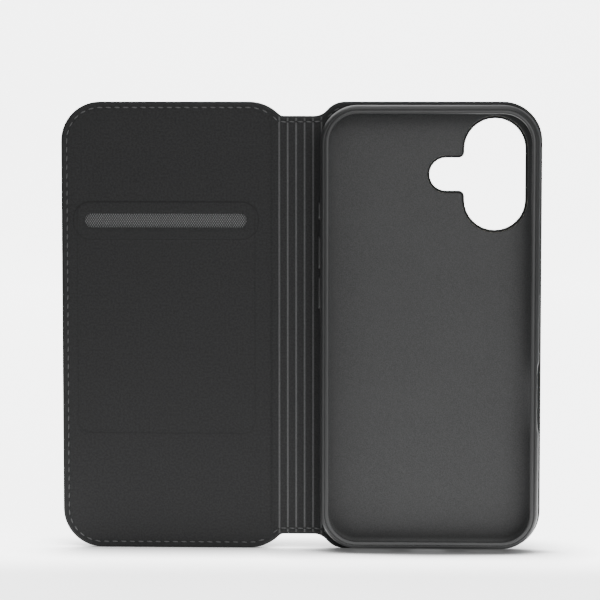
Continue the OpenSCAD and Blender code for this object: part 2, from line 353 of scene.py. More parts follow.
def carved(piece: bpy.types.Object, cutter_bm: bmesh.types.BMesh) -> bpy.types.Object:
    """Cuts a second mesh's shape out of a piece and keeps the result in its mesh.

    Args:
        piece: The piece to cut.
        cutter_bm: The shape to take away, which is freed.

    Returns:
        The same piece.
    """
    recalculated(cutter_bm)
    mesh = bpy.data.meshes.new("cutter")
    cutter_bm.to_mesh(mesh)
    cutter_bm.free()
    cutter = bpy.data.objects.new("cutter", mesh)
    bpy.context.scene.collection.objects.link(cutter)
    cut = piece.modifiers.new("cut", "BOOLEAN")
    cut.operation, cut.solver, cut.object = "DIFFERENCE", "EXACT", cutter
    bpy.context.view_layer.update()
    result = bpy.data.meshes.new_from_object(piece.evaluated_get(bpy.context.evaluated_depsgraph_get()))
    piece.modifiers.clear()
    old, piece.data = piece.data, result
    result.name = piece.name
    bpy.data.objects.remove(cutter)
    bpy.data.meshes.remove(mesh)
    bpy.data.meshes.remove(old)
    bm = bmesh.new()
    bm.from_mesh(result)
    bmesh.ops.remove_doubles(bm, verts=bm.verts[:], dist=MERGE)
    smoothed(bm, SHARP_DEG)
    bm.to_mesh(result)
    bm.free()
    return piece


# ---------- finishes ----------


class Sheet:
    """Adds and links the nodes of one material."""

    def __init__(self, name: str) -> None:
        """Starts a material that holds one surface shader.

        Args:
            name: The material's name.
        """
        self.material = bpy.data.materials.new(name)
        self.material.use_nodes = True
        self.tree = self.material.node_tree
        self.tree.nodes.clear()
        self.shader = self.tree.nodes.new("ShaderNodeBsdfPrincipled")
        out = self.tree.nodes.new("ShaderNodeOutputMaterial")
        self.tree.links.new(self.shader.outputs["BSDF"], out.inputs["Surface"])

    def put(self, socket: bpy.types.NodeSocket, value: object) -> None:
        """Links a socket to another, or sets its number.

        Args:
            socket: The socket to fill.
            value: A socket, a number or colour, or None to leave it.
        """
        if isinstance(value, bpy.types.NodeSocket):
            self.tree.links.new(value, socket)
        elif value is not None:
            socket.default_value = value

    def surface(self, **values: object) -> None:
        """Sets the shader's sockets, with _ for a space in their names."""
        for key, value in values.items():
            self.put(self.shader.inputs[key.replace("_", " ")], value)

    def math(self, kind: str, a: object, b: object = None, c: object = None) -> bpy.types.NodeSocket:
        """One step of arithmetic.

        Args:
            kind: The operation.
            a: First number.
            b: Second number.
            c: Third number.

        Returns:
            The result.
        """
        node = self.tree.nodes.new("ShaderNodeMath")
        node.operation = kind
        for socket, value in zip(node.inputs, (a, b, c)):
            self.put(socket, value)
        return node.outputs[0]

    def place(self, flat: bool, size: tuple[float, float, float] = (1, 1, 1)) -> bpy.types.NodeSocket:
        """Coordinates in millimetres, from the flat map or from the piece itself.

        Args:
            flat: Whether to read the piece's flat map.
            size: Factor along each axis.

        Returns:
            The coordinates.
        """
        if flat:
            source = self.tree.nodes.new("ShaderNodeUVMap")
            source.uv_map = "flat"
            socket, unit = source.outputs["UV"], FLAT_UV / MM
        else:
            source = self.tree.nodes.new("ShaderNodeTexCoord")
            socket, unit = source.outputs["Object"], 1 / MM
        node = self.tree.nodes.new("ShaderNodeMapping")
        self.put(node.inputs["Vector"], socket)
        node.inputs["Scale"].default_value = [unit * s for s in size]
        return node.outputs["Vector"]

    def axis(self, vector: bpy.types.NodeSocket, name: str) -> bpy.types.NodeSocket:
        """One number of a vector.

        Args:
            vector: The vector.
            name: X, Y or Z.

        Returns:
            The number.
        """
        node = self.tree.nodes.new("ShaderNodeSeparateXYZ")
        self.put(node.inputs[0], vector)
        return node.outputs[name]

    def noise(
        self, vector: bpy.types.NodeSocket, scale: float, detail: float = 2, rough: float = 0.5,
    ) -> bpy.types.NodeSocket:
        """Soft random variation.

        Args:
            vector: Coordinates in millimetres.
            scale: Waves in a millimetre.
            detail: Number of finer layers.
            rough: How strong the finer layers are.

        Returns:
            A number from 0 to 1.
        """
        node = self.tree.nodes.new("ShaderNodeTexNoise")
        for key, value in (("Vector", vector), ("Scale", scale), ("Detail", detail), ("Roughness", rough)):
            self.put(node.inputs[key], value)
        return node.outputs["Fac"]

    def cells(self, vector: bpy.types.NodeSocket, scale: float, feature: str = "F1") -> bpy.types.NodeSocket:
        """Distance to the nearest cell's middle or edge.

        Args:
            vector: Coordinates in millimetres.
            scale: Cells in a millimetre.
            feature: Which distance to measure.

        Returns:
            The distance, in cells.
        """
        node = self.tree.nodes.new("ShaderNodeTexVoronoi")
        node.feature = feature
        for key, value in (("Vector", vector), ("Scale", scale)):
            self.put(node.inputs[key], value)
        return node.outputs["Distance"]

    def outside(
        self, at: bpy.types.NodeSocket, box: tuple[float, float, float, float], corner: float,
    ) -> bpy.types.NodeSocket:
        """Distance outside a round-cornered rectangle, in millimetres.

        Args:
            at: Flat coordinates in millimetres.
            box: Its middle, width and height.
            corner: Its corner radius.

        Returns:
            The distance, below 0 only as far in as the corner radius reaches.
        """
        reaches = []
        for name, middle, size in (("X", box[0] + 500 * FLAT_UV, box[2]), ("Y", box[1], box[3])):
            off = self.math("ABSOLUTE", self.math("SUBTRACT", self.axis(at, name), middle))
            off = self.math("MAXIMUM", self.math("SUBTRACT", off, size / 2 - corner), 0.0)
            reaches.append(self.math("MULTIPLY", off, off))
        return self.math("SUBTRACT", self.math("SQRT", self.math("ADD", *reaches)), corner)

    def fit(
        self, value: object, low: float, high: float, out_low: float = 0.0, out_high: float = 1.0,
    ) -> bpy.types.NodeSocket:
        """Carries a number from one range to another, eased at both ends.

        Args:
            value: The number.
            low: Start of its range.
            high: End of its range.
            out_low: What the start becomes.
            out_high: What the end becomes.

        Returns:
            The new number.
        """
        node = self.tree.nodes.new("ShaderNodeMapRange")
        node.interpolation_type = "SMOOTHSTEP"
        for socket, number in zip(node.inputs, (value, low, high, out_low, out_high)):
            self.put(socket, number)
        return node.outputs["Result"]

    def blend(self, share: object, a: object, b: object) -> bpy.types.NodeSocket:
        """A colour between two colours.

        Args:
            share: How much of the second colour.
            a: First colour.
            b: Second colour.

        Returns:
            The colour.
        """
        node = self.tree.nodes.new("ShaderNodeMix")
        node.data_type = "RGBA"
        self.put(node.inputs[0], share)
        for socket, value in ((node.inputs[6], a), (node.inputs[7], b)):
            self.put(socket, value)
        return node.outputs[2]

    def bump(self, height: bpy.types.NodeSocket, millimetres: float, strength: float = 1.0) -> None:
        """Gives the surface relief, on top of what it already has.

        Args:
            height: Relief from 0 to 1.
            millimetres: Height that 1 stands for.
            strength: How much of it shows.
        """
        node = self.tree.nodes.new("ShaderNodeBump")
        node.inputs["Strength"].default_value = strength
        node.inputs["Distance"].default_value = millimetres * MM
        self.put(node.inputs["Height"], height)
        normal = self.shader.inputs["Normal"]
        if normal.is_linked:
            self.put(node.inputs["Normal"], normal.links[0].from_socket)
        self.put(normal, node.outputs["Normal"])


def grey(value: float) -> tuple[float, float, float, float]:
    """An even grey, a little cooler than neutral."""
    return (value * 0.985, value, value * 1.01, 1.0)


@dataclass(frozen=True)
class CoatedLeather:
    """Black coated leather with a fine pebbled grain and painted shade in its creases."""

    tone: float = 0.012
    grain: float = 1.35
    relief: float = 0.055

    def made(self) -> bpy.types.Material:
        """Builds the material.

        Returns:
            The material.
        """
        s = Sheet("outer_leather")
        at = s.place(flat=True)
        pebbles = s.cells(at, self.grain, "SMOOTH_F1")
        creases = s.cells(at, self.grain, "DISTANCE_TO_EDGE")
        pores = s.noise(at, 5.5, 3, 0.6)
        tone = s.blend(s.noise(at, 0.045, 3), grey(self.tone * 0.85), grey(self.tone * 1.25))
        # painted shade: the creases between the pebbles are darkened
        tone = s.blend(s.fit(creases, 0.02, 0.16), grey(self.tone * 0.55), tone)
        s.surface(Base_Color=tone, Roughness=s.fit(pebbles, 0.1, 0.8, 0.46, 0.62), Specular_IOR_Level=0.2)
        s.bump(s.fit(creases, 0.0, 0.22), self.relief, 0.7)
        s.bump(pores, 0.02, 0.5)
        return s.material


@dataclass(frozen=True)
class Microfibre:
    """Soft lining cloth with pale pressed lines over the folds and painted shade along the card pocket's
    pressed outlines.
    """

    tone: float = 0.0098
    line_tone: float = 0.044
    line_pitch: float = 2.85
    first_line: float = 6.95
    last_line: float = -7.3
    line_width: float = 0.62

    def made(self) -> bpy.types.Material:
        """Builds the material.

        Returns:
            The material.
        """
        s = Sheet("lining_cloth")
        at = s.place(flat=True)
        fibres = s.noise(s.place(flat=True, size=(1, 0.6, 1)), 4.2, 4, 0.7)
        clouds = s.noise(at, 0.09, 3)
        tone = s.blend(clouds, grey(self.tone * 0.86), grey(self.tone * 1.14))
        tone = s.blend(s.fit(fibres, 0.35, 0.7), s.blend(0.5, tone, grey(self.tone * 0.6)), tone)
        nap = s.noise(at, 1.5, 3, 0.7)
        lying, raised = s.blend(0.5, tone, grey(self.tone * 0.45)), s.blend(0.3, tone, grey(self.tone * 1.9))
        tone = s.blend(s.fit(nap, 0.36, 0.64), lying, raised)
        origin = 0.5 * FLAT_UV / MM
        across = s.math("SUBTRACT", s.axis(at, "X"), origin)
        half = self.line_pitch / 2
        away = s.math("WRAP", across, self.last_line + half, self.last_line - half)
        away = s.math("ABSOLUTE", s.math("SUBTRACT", away, self.last_line))
        wear_and_shade_noise = s.noise(s.place(flat=True, size=(1.2, 0.5, 1)), 2.4, 4, 0.75)
        edge = s.math("ADD", away, s.math("MULTIPLY", s.math("SUBTRACT", wear_and_shade_noise, 0.5), 0.35))
        line = s.fit(edge, self.line_width * 0.62, self.line_width * 0.3)
        line = s.math("MULTIPLY", line, s.math("GREATER_THAN", across, self.last_line - 1.0))
        line = s.math("MULTIPLY", line, s.math("LESS_THAN", across, self.first_line + 1.0))
        worn = s.fit(wear_and_shade_noise, 0.32, 0.68, 0.35, 1.0)
        tone = s.blend(s.math("MULTIPLY", line, worn), tone, grey(self.line_tone))
        pocket = CardPocket()
        for box, corner, dark in pocket.shade_outlines():
            # painted shade: a dark line along each pressed outline of the pocket, its strength broken up by
            # noise
            away = s.math("ABSOLUTE", s.outside(at, box, corner))
            outline_shade = s.math("MULTIPLY", s.fit(away, 0.34, 0.06), s.fit(wear_and_shade_noise, 0.25, 0.6, 0.5 * dark, dark))
            tone = s.blend(outline_shade, tone, grey(self.tone * 0.25))
        s.surface(
            Base_Color=tone, Roughness=s.fit(line, 0, 1, 0.86, 0.5), Specular_IOR_Level=0.2,
            Sheen_Weight=0.05, Sheen_Roughness=0.45, Sheen_Tint=grey(0.5),
        )
        s.bump(fibres, 0.045, 0.55)
        return s.material


@dataclass(frozen=True)
class Mesh:
    """Grey knitted mesh cloth: pale loops in staggered rows over a darker ground."""

    loop_tone: float = 0.075
    ground_tone: float = 0.0015

    def made(self) -> bpy.types.Material:
        """Builds the material.

        Returns:
            The material.
        """
        s = Sheet("pocket_mesh")
        at = s.place(flat=False)
        rows = []
        for shift in (0.0, 0.5):
            squares = []
            for name, pitch in (("X", MeshCloth.pitch_x), ("Z", MeshCloth.pitch_z)):
                turns = s.math("ADD", s.math("DIVIDE", s.axis(at, name), pitch), shift + 100)
                off = s.math("ABSOLUTE", s.math("SUBTRACT", s.math("FRACT", turns), 0.5))
                squares.append(s.math("POWER", s.math("MULTIPLY", off, 2), 2))
            rows.append(s.math("ADD", *squares))
        loop = s.fit(s.math("MINIMUM", *rows), 0.36, 0.1)
        yarn = s.noise(s.place(flat=False, size=(1, 1, 2)), 9, 3, 0.6)
        lit = s.blend(yarn, grey(self.loop_tone * 0.6), grey(self.loop_tone * 1.3))
        tone = s.blend(loop, grey(self.ground_tone), lit)
        s.surface(Base_Color=tone, Roughness=0.7, Specular_IOR_Level=0.35, Sheen_Weight=0.1)
        s.bump(loop, 0.08, 0.8)
        s.bump(yarn, 0.03, 0.5)
        return s.material


class TrayZone(Enum):
    """The two textures of the moulded tray."""

    WALL = "tray_wall"
    FLOOR = "tray_floor"


@dataclass(frozen=True)
class SoftPlastic:
    """Black flexible plastic: satin walls, and a floor with a fine felt-like texture."""

    zone: TrayZone
    tone: float
    roughness: float

    def made(self) -> bpy.types.Material:
        """Builds the material.

        Returns:
            The material.
        """
        s = Sheet(self.zone.value)
        at = s.place(flat=False)
        clouds = s.noise(at, 0.05, 2)
        speckle = s.noise(at, 3.4 if self.zone is TrayZone.FLOOR else 7.0, 3, 0.65)
        low = 0.62 if self.zone is TrayZone.FLOOR else 0.92
        tone = s.blend(s.fit(speckle, 0.34, 0.66), grey(self.tone * low), grey(self.tone * (2 - low)))
        tone = s.blend(s.fit(clouds, 0.3, 0.7), tone, s.blend(0.12, tone, grey(self.tone * 1.6)))
        rough = s.fit(speckle, 0.3, 0.7, self.roughness + 0.04, self.roughness - 0.04)
        s.surface(Base_Color=tone, Roughness=rough, Specular_IOR_Level=0.35)
        s.bump(speckle, 0.05 if self.zone is TrayZone.FLOOR else 0.008, 0.6)
        return s.material


@dataclass(frozen=True)
class Yarn:
    """Twisted sewing thread, or the painted shade of the needle holes between its stitches."""

    name: str
    tone: float
    roughness: float = 0.55

    def made(self) -> bpy.types.Material:
        """Builds the material.

        Returns:
            The material.
        """
        s = Sheet(self.name)
        at = s.place(flat=False)
        twist = s.noise(at, 3.5, 2)
        tone = s.blend(twist, grey(self.tone * 0.7), grey(self.tone * 1.3))
        s.surface(Base_Color=tone, Roughness=self.roughness, Specular_IOR_Level=0.4)
        s.bump(s.noise(at, 8, 2), 0.02, 0.6)
        return s.material


@dataclass(frozen=True)
class InnerLayer:
    """Stiffening board or glue that the cover hides."""

    name: str
    tone: tuple[float, float, float, float]

    def made(self) -> bpy.types.Material:
        """Builds the material.

        Returns:
            The material.
        """
        s = Sheet(self.name)
        grains = s.noise(s.place(flat=False), 1.8, 3)
        darker = [0.7 * c for c in self.tone[:3]] + [1.0]
        s.surface(Base_Color=s.blend(grains, self.tone, darker), Roughness=0.8)
        s.bump(grains, 0.02, 0.4)
        return s.material


@dataclass
class Finishes:
    """Every finish of the case, made once."""

    leather: bpy.types.Material = field(default_factory=lambda: CoatedLeather().made())
    lining: bpy.types.Material = field(default_factory=lambda: Microfibre().made())
    mesh: bpy.types.Material = field(default_factory=lambda: Mesh().made())
    wall: bpy.types.Material = field(default_factory=lambda: SoftPlastic(TrayZone.WALL, 0.0112, 0.48).made())
    floor: bpy.types.Material = field(default_factory=lambda: SoftPlastic(TrayZone.FLOOR, 0.0135, 0.68).made())
    thread: bpy.types.Material = field(default_factory=lambda: Yarn("thread", 0.034).made())
    # painted shade for the needle holes
    hole_shade: bpy.types.Material = field(default_factory=lambda: Yarn("needle_hole_shade", 0.003, 0.9).made())
    board: bpy.types.Material = field(default_factory=lambda: InnerLayer("board", (0.16, 0.13, 0.1, 1)).made())
    glue: bpy.types.Material = field(default_factory=lambda: InnerLayer("glue", (0.3, 0.28, 0.22, 1)).made())


# ---------- the cover ----------


@dataclass(frozen=True)
class Cover:
    """Outline and folds shared by the skin and the lining of the open cover."""

    height: float = CAD_BOX[1].z
    left: float = CAD_BOX[0].x
    right: float = CAD_BOX[1].x
    corner: float = 13.3 * MM
    notch: float = 4.8 * MM
    flap_shoulder: tuple[float, float, float] = (-17.6 * MM, 14.5 * MM, 2.5 * MM)
    back_shoulder: tuple[float, float, float] = (14.9 * MM, 8 * MM, 5.9 * MM)
    skin: float = 0.6 * MM
    flap_hem: float = 1.4 * MM
    back_hem: float = 1.1 * MM
    spine_hem: float = 0.62 * MM
    bend: float = 0.95 * MM

    def folds(self) -> list[float]:
        """Where the folds stand along X, from the tray towards the flap."""
        hinges = [j for j in frame["record"]["behaviour"]["joints"] if j["name"].startswith("fold_")]
        return [j["pos_m"][0] for j in sorted(hinges, key=lambda j: j["name"])]

    def seam(self, fold: int) -> float:
        """Where the piece over a fold ends, half-way along the strip on its flap side."""
        places = self.folds()
        return (places[fold - 1] + places[fold]) / 2

    def part_over(self, whole: bmesh.types.BMesh, fold: int) -> bmesh.types.BMesh:
        """Takes the part of a sheet that bends over one fold.

        Args:
            whole: The sheet of the whole cover, which is left as it is.
            fold: The fold's number.

        Returns:
            A new closed mesh.
        """
        bm = whole.copy()
        if fold < FOLDS:
            cut_off(bm, self.seam(fold), keep_right=True)
        if fold > 1:
            cut_off(bm, self.seam(fold - 1), keep_right=False)
        recalculated(bm)
        return bm

    def slope(self, shoulder: tuple[float, float, float]) -> tuple[float, float]:
        """The angle that a shoulder turns through, in degrees, and how far its two arcs reach along X.

        Args:
            shoulder: Where it starts along X, and the radii of its two arcs.

        Returns:
            The angle and the reach.
        """
        _, big, small = shoulder
        angle = math.acos(1 - self.notch / (big + small))
        return math.degrees(angle), (big + small) * math.sin(angle)

    def outline(self, bm: bmesh.types.BMesh, inset: float, depth: float) -> Loop:
        """Draws the whole open cover's outline.

        Args:
            bm: The mesh that takes it.
            inset: How far inside the cover's edge it runs.
            depth: Its depth behind the outer face.

        Returns:
            The outline's edges.
        """
        flap_x, flap_r, flap_f = self.flap_shoulder
        back_x, back_r, back_f = self.back_shoulder
        flap_turn, flap_reach = self.slope(self.flap_shoulder)
        back_turn, back_reach = self.slope(self.back_shoulder)
        spine = (back_x - back_reach) - (flap_x + flap_reach)
        pen = Pen(bm, self.left + self.corner, inset, depth)
        pen.forward(flap_x - self.left - self.corner)
        pen.turn(flap_turn, flap_r - inset, 9).turn(-flap_turn, flap_f + inset, 5).forward(spine)
        pen.turn(-back_turn, back_f + inset, 7).turn(back_turn, back_r - inset, 9)
        pen.forward(self.right - self.corner - back_x).turn(90, self.corner - inset, 14)
        pen.forward(self.height - 2 * self.corner).turn(90, self.corner - inset, 14)
        pen.forward(self.right - self.corner - back_x)
        pen.turn(back_turn, back_r - inset, 9).turn(-back_turn, back_f + inset, 7).forward(spine)
        pen.turn(-flap_turn, flap_f + inset, 5).turn(flap_turn, flap_r - inset, 9)
        pen.forward(flap_x - self.left - self.corner).turn(90, self.corner - inset, 14)
        pen.forward(self.height - 2 * self.corner).turn(90, self.corner - inset, 14)
        return pen.close()

    def hem_at(self, x: float) -> float:
        """Depth of the turned-in hem's face, which drops from the boards down to the spine.

        Args:
            x: Place along X.

        Returns:
            The depth behind the outer face.
        """
        folds = self.folds()
        flap = smooth_step(x, folds[-1] + 0.9 * MM, folds[-1] - 0.6 * MM)
        back = smooth_step(x, folds[0] - 0.6 * MM, folds[0] + 0.7 * MM)
        low = self.spine_hem
        return low + (self.flap_hem - low) * flap + (self.back_hem - low) * back

    def bend_cuts(self) -> list[float]:
        """Where the sheets are cut so that they can bend over each fold."""
        steps = [s * MM for s in (0.12, 0.26, 0.42, 0.6, 0.78, 0.95)]
        return [x + side * s for x in self.folds() for side in (-1, 1) for s in steps] + self.folds()

    def over_fold(self, fold: int, piece: bpy.types.Object) -> bpy.types.Object:
        """Bakes a piece's placement into its mesh; it is not bent over the fold nor joined to a body.

        Args:
            fold: The fold's number; not used.
            piece: The piece whose placement is baked.

        Returns:
            The same piece.
        """
        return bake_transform(piece)


@dataclass(frozen=True)
class CameraOpening:
    """The opening for the cameras: a tall pill with a round bay on its left."""

    centre: tuple[float, float] = (65.3 * MM, 127.6 * MM)
    radius: float = 10.25 * MM
    length: float = 37.6 * MM
    bay_radius: float = 5.55 * MM
    bay_offset: float = 16.4 * MM
    fillet: float = 1.9 * MM

    def outline(self, bm: bmesh.types.BMesh, outset: float, depth: float) -> Loop:
        """Draws the opening, larger by outset.

        Args:
            bm: The mesh that takes it.
            outset: How much larger it is all round.
            depth: Depth behind the outer face.

        Returns:
            The outline's edges.
        """
        x, z = self.centre
        half = self.length / 2 - self.radius
        side = half - self.bay_radius - self.fillet
        throat = self.bay_offset - self.radius - self.fillet
        pen = Pen(bm, x + self.radius + outset, z - half, depth, math.radians(90))
        pen.forward(2 * half).turn(180, self.radius + outset, 26).forward(side)
        pen.turn(-90, self.fillet - outset, 6).forward(throat).turn(180, self.bay_radius + outset, 18)
        pen.forward(throat).turn(-90, self.fillet - outset, 6).forward(side).turn(180, self.radius + outset, 26)
        return pen.close()


@dataclass(frozen=True)
class Skin:
    """The outer leather: rounded edge, stitch channel, hem turned to the inside and a recess for the boards."""

    cover: Cover
    opening: CameraOpening
    edge: Profile = (
        (2.75, 0), (2.5, 0), (2.42, 0.03), (2.28, 0.11), (1.92, 0.11), (1.78, 0.03), (1.7, 0), (0.62, 0),
        (0.52, 0.003), (0.3, 0.05), (0.13, 0.16), (0.03, 0.33), (0, 0.5), (0, 0.95), (0.05, 1.15),
        (0.18, 1.32), (0.38, 1.397), (0.5, 1.4), (2.6, 1.4), (2.62, 0.62),
    )
    rim: Profile = (
        (0.75, 0), (0.5, 0), (0.3, 0.03), (0.1, 0.14), (0, 0.35), (0, 1.15), (0.06, 1.29), (0.2, 1.38),
        (0.36, 1.4), (1.6, 1.4), (1.62, 0.62),
    )

    def whole(self) -> bmesh.types.BMesh:
        """Builds the skin of the whole open cover as one closed mesh.

        Returns:
            The mesh.
        """
        bm = bmesh.new()
        sides = [self.cover.outline(bm, inset * MM, depth * MM) for inset, depth in self.edge]
        holes = [self.opening.outline(bm, outset * MM, depth * MM) for outset, depth in self.rim]
        loft(bm, sides)
        loft(bm, holes)
        for end in (0, -1):
            bmesh.ops.triangle_fill(bm, edges=sides[end] + holes[end], use_beauty=True)
        recalculated(bm)
        cut_across(bm, "X", self.cover.bend_cuts())
        low = self.cover.skin
        for v in bm.verts:
            depth = depth_of(v)
            if depth > low + 0.03 * MM:
                share = (depth - low) / (self.cover.flap_hem - low)
                v.co.y = OUTER_Y - (low + share * (self.cover.hem_at(v.co.x) - low))
        return bm

    def build(self, finishes: Finishes) -> None:
        """Cuts the skin into the pieces that bend over one fold each.

        Args:
            finishes: The finishes of the case.
        """
        whole = self.whole()
        for fold in range(1, FOLDS + 1):
            bm = self.cover.part_over(whole, fold)
            name = "flap_skin_leather" if fold == FOLDS else f"spine_skin_over_fold_{fold}"
            name = "back_skin_leather" if fold == 1 else name
            piece = finished(bm, name, [finishes.leather])
            self.cover.over_fold(fold, piece)
            ends = {1: ["back_skin"], FOLDS: ["flap_skin", "spine_skin_6"]}
            hidden = ends.get(fold, [f"spine_skin_{fold - 1}"])
            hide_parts(*hidden)
        whole.free()


@dataclass(frozen=True)
class CardPocket:
    """The card pocket under the flap's lining: its slot, the ring round the slot and its outline."""

    slot: tuple[float, float, float, float] = (-45.7 * MM, 111.8 * MM, 55 * MM, 4.9 * MM)
    ring: tuple[float, float] = (62.8 * MM, 12.7 * MM)
    width: float = 60.3 * MM
    low: float = 39.4 * MM
    corner: float = 4 * MM

    def away(
        self, x: float, z: float, centre: tuple[float, float], width: float, height: float, corner: float,
    ) -> float:
        """Distance outside a rectangle with round corners, below 0 inside it.

        Args:
            x: Place along X.
            z: Place along Z.
            centre: The rectangle's middle.
            width: Its width.
            height: Its height.
            corner: Its corner radius.

        Returns:
            The distance.
        """
        dx = abs(x - centre[0]) - width / 2 + corner
        dz = abs(z - centre[1]) - height / 2 + corner
        return math.hypot(max(dx, 0), max(dz, 0)) + min(max(dx, dz), 0) - corner

    def relief(self, x: float, z: float) -> float:
        """How far the lining stands out over the pocket's parts, above 0 for a rise.

        Args:
            x: Place along X.
            z: Place along Z.

        Returns:
            The rise.
        """
        sx, sz, length, width = self.slot
        ring = self.away(x, z, (sx, sz), *self.ring, self.ring[1] * 0.42)
        top = sz + self.ring[1] / 2
        pocket = self.away(x, z, (sx, (self.low + top) / 2), self.width, top - self.low, self.corner)
        lip = self.away(x, z, (sx, sz), length, width, width / 2)
        rise = 0.13 * MM * smooth_step(ring, 0.45 * MM, -0.45 * MM)
        rise -= 0.09 * MM * smooth_step(pocket, 0.5 * MM, -0.5 * MM) * smooth_step(ring, -0.2 * MM, 0.6 * MM)
        rise -= 0.16 * MM * smooth_step(lip, 1.3 * MM, -0.1 * MM)
        return rise

    def shade_outlines(self) -> list[tuple[tuple[float, float, float, float], float, float]]:
        """Pressed outlines along which the cloth gets painted shade, in millimetres.

        Returns:
            Tuples of a box, a corner radius and the strength of the painted shade.
        """
        sx, sz = self.slot[0] / MM, self.slot[1] / MM
        wide, high = self.ring[0] / MM, self.ring[1] / MM
        low, top = self.low / MM, sz + high / 2
        return [
            ((sx, sz, wide, high), high * 0.46, 0.55),
            ((sx, (low + top) / 2, self.width / MM, top - low), self.corner / MM, 0.3),
        ]

    def cuts(self) -> tuple[list[float], list[float]]:
        """Where the lining is cut along X and along Z to take the relief.

        Returns:
            The two lists of places.
        """
        sx, sz, _, _ = self.slot
        left, right = sx - self.ring[0] / 2, sx + self.ring[0] / 2
        fine, coarse = 0.42 * MM, 4 * MM
        xs = spread(left - 2 * MM, left + 8 * MM, fine) + spread(right - 8 * MM, right + 2 * MM, fine)
        xs += spread(left + 8 * MM, right - 8 * MM, coarse)[1:-1]
        low, top = self.low, sz + self.ring[1] / 2
        under = sz - self.ring[1] / 2 - 2 * MM
        zs = spread(low - 1.5 * MM, low + 6 * MM, fine) + spread(under, top + 1.5 * MM, fine)
        zs += spread(low + 6 * MM, under, coarse)[1:-1]
        return xs, zs


@dataclass(frozen=True)
class Lining:
    """The lining cloth: a thin sheet with a pressed stitch channel and pressed lines over the folds."""

    cover: Cover
    pocket: CardPocket
    thickness: float = 0.4 * MM
    end: float = 7.4 * MM
    line_press: float = 0.1 * MM
    edge: Profile = (
        (0.85, 0), (0.74, 0.01), (0.68, 0.1), (0.68, 0.22), (0.74, 0.33), (0.86, 0.39), (1.0, 0.4),
        (1.5, 0.4), (1.62, 0.38), (1.78, 0.3), (2.22, 0.3), (2.38, 0.38), (2.5, 0.4), (2.7, 0.4),
    )

    def whole(self) -> bmesh.types.BMesh:
        """Builds the lining of the flap and the spine as one closed mesh.

        Returns:
            The mesh.
        """
        bm = bmesh.new()
        sides = [self.cover.outline(bm, inset * MM, depth * MM) for inset, depth in self.edge]
        loft(bm, sides)
        for end in (0, -1):
            bmesh.ops.contextual_create(bm, geom=sides[end])
        recalculated(bm)
        cut_off(bm, self.end, keep_right=False)
        cut_across(bm, "X", [x for x in self.cover.bend_cuts() if x < self.end])
        xs, zs = self.pocket.cuts()
        cut_across(bm, "X", xs)
        cut_across(bm, "Z", zs)
        lines = self.cover.folds()[:-1]
        for v in bm.verts:
            top = depth_of(v) > self.thickness / 2
            base = self.cover.hem_at(min(v.co.x, self.cover.folds()[0] - MM))
            rise = 0.0
            if top and v.co.x < self.cover.folds()[-1]:
                rise = self.pocket.relief(v.co.x, v.co.z)
            if top:
                near = min(abs(v.co.x - x) for x in lines)
                rise -= self.line_press * smooth_step(near, 0.5 * MM, 0.15 * MM)
            v.co.y -= base + rise
        return bm

    def build(self, finishes: Finishes) -> None:
        """Cuts the lining into the pieces that bend over one fold each, and opens the card slot.

        Args:
            finishes: The finishes of the case.
        """
        whole = self.whole()
        for fold in range(1, FOLDS + 1):
            bm = self.cover.part_over(whole, fold)
            name = "flap_lining_cloth" if fold == FOLDS else f"spine_lining_over_fold_{fold}"
            name = "back_lining_over_fold_1" if fold == 1 else name
            piece = finished(bm, name, [finishes.lining])
            if fold == FOLDS:
                x, z, length, width = self.pocket.slot
                cutter = bmesh.new()
                slot_prism(cutter, Vector((x, OUTER_Y - 1.6 * MM, z)), (length, 3 * MM, width), "Y")
                carved(piece, cutter)
                self.declare(piece)
            self.cover.over_fold(fold, piece)
            hidden = {1: [], FOLDS: ["flap_lining", "spine_lining_6"]}.get(fold, [f"spine_lining_{fold - 1}"])
            if hidden:
                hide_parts(*hidden)
        whole.free()

    def declare(self, piece: bpy.types.Object) -> None:
        """Works out the area of the flap's lining, capped at the size it was cut to, and keeps it nowhere.

        Args:
            piece: The flap's lining.
        """
        area = sum(p.area for p in piece.data.polygons) / 2
        width = self.cover.seam(FOLDS - 1) - self.cover.left - 1.4 * MM
        length = self.cover.height - 1.4 * MM
        area = min(area, width * length)


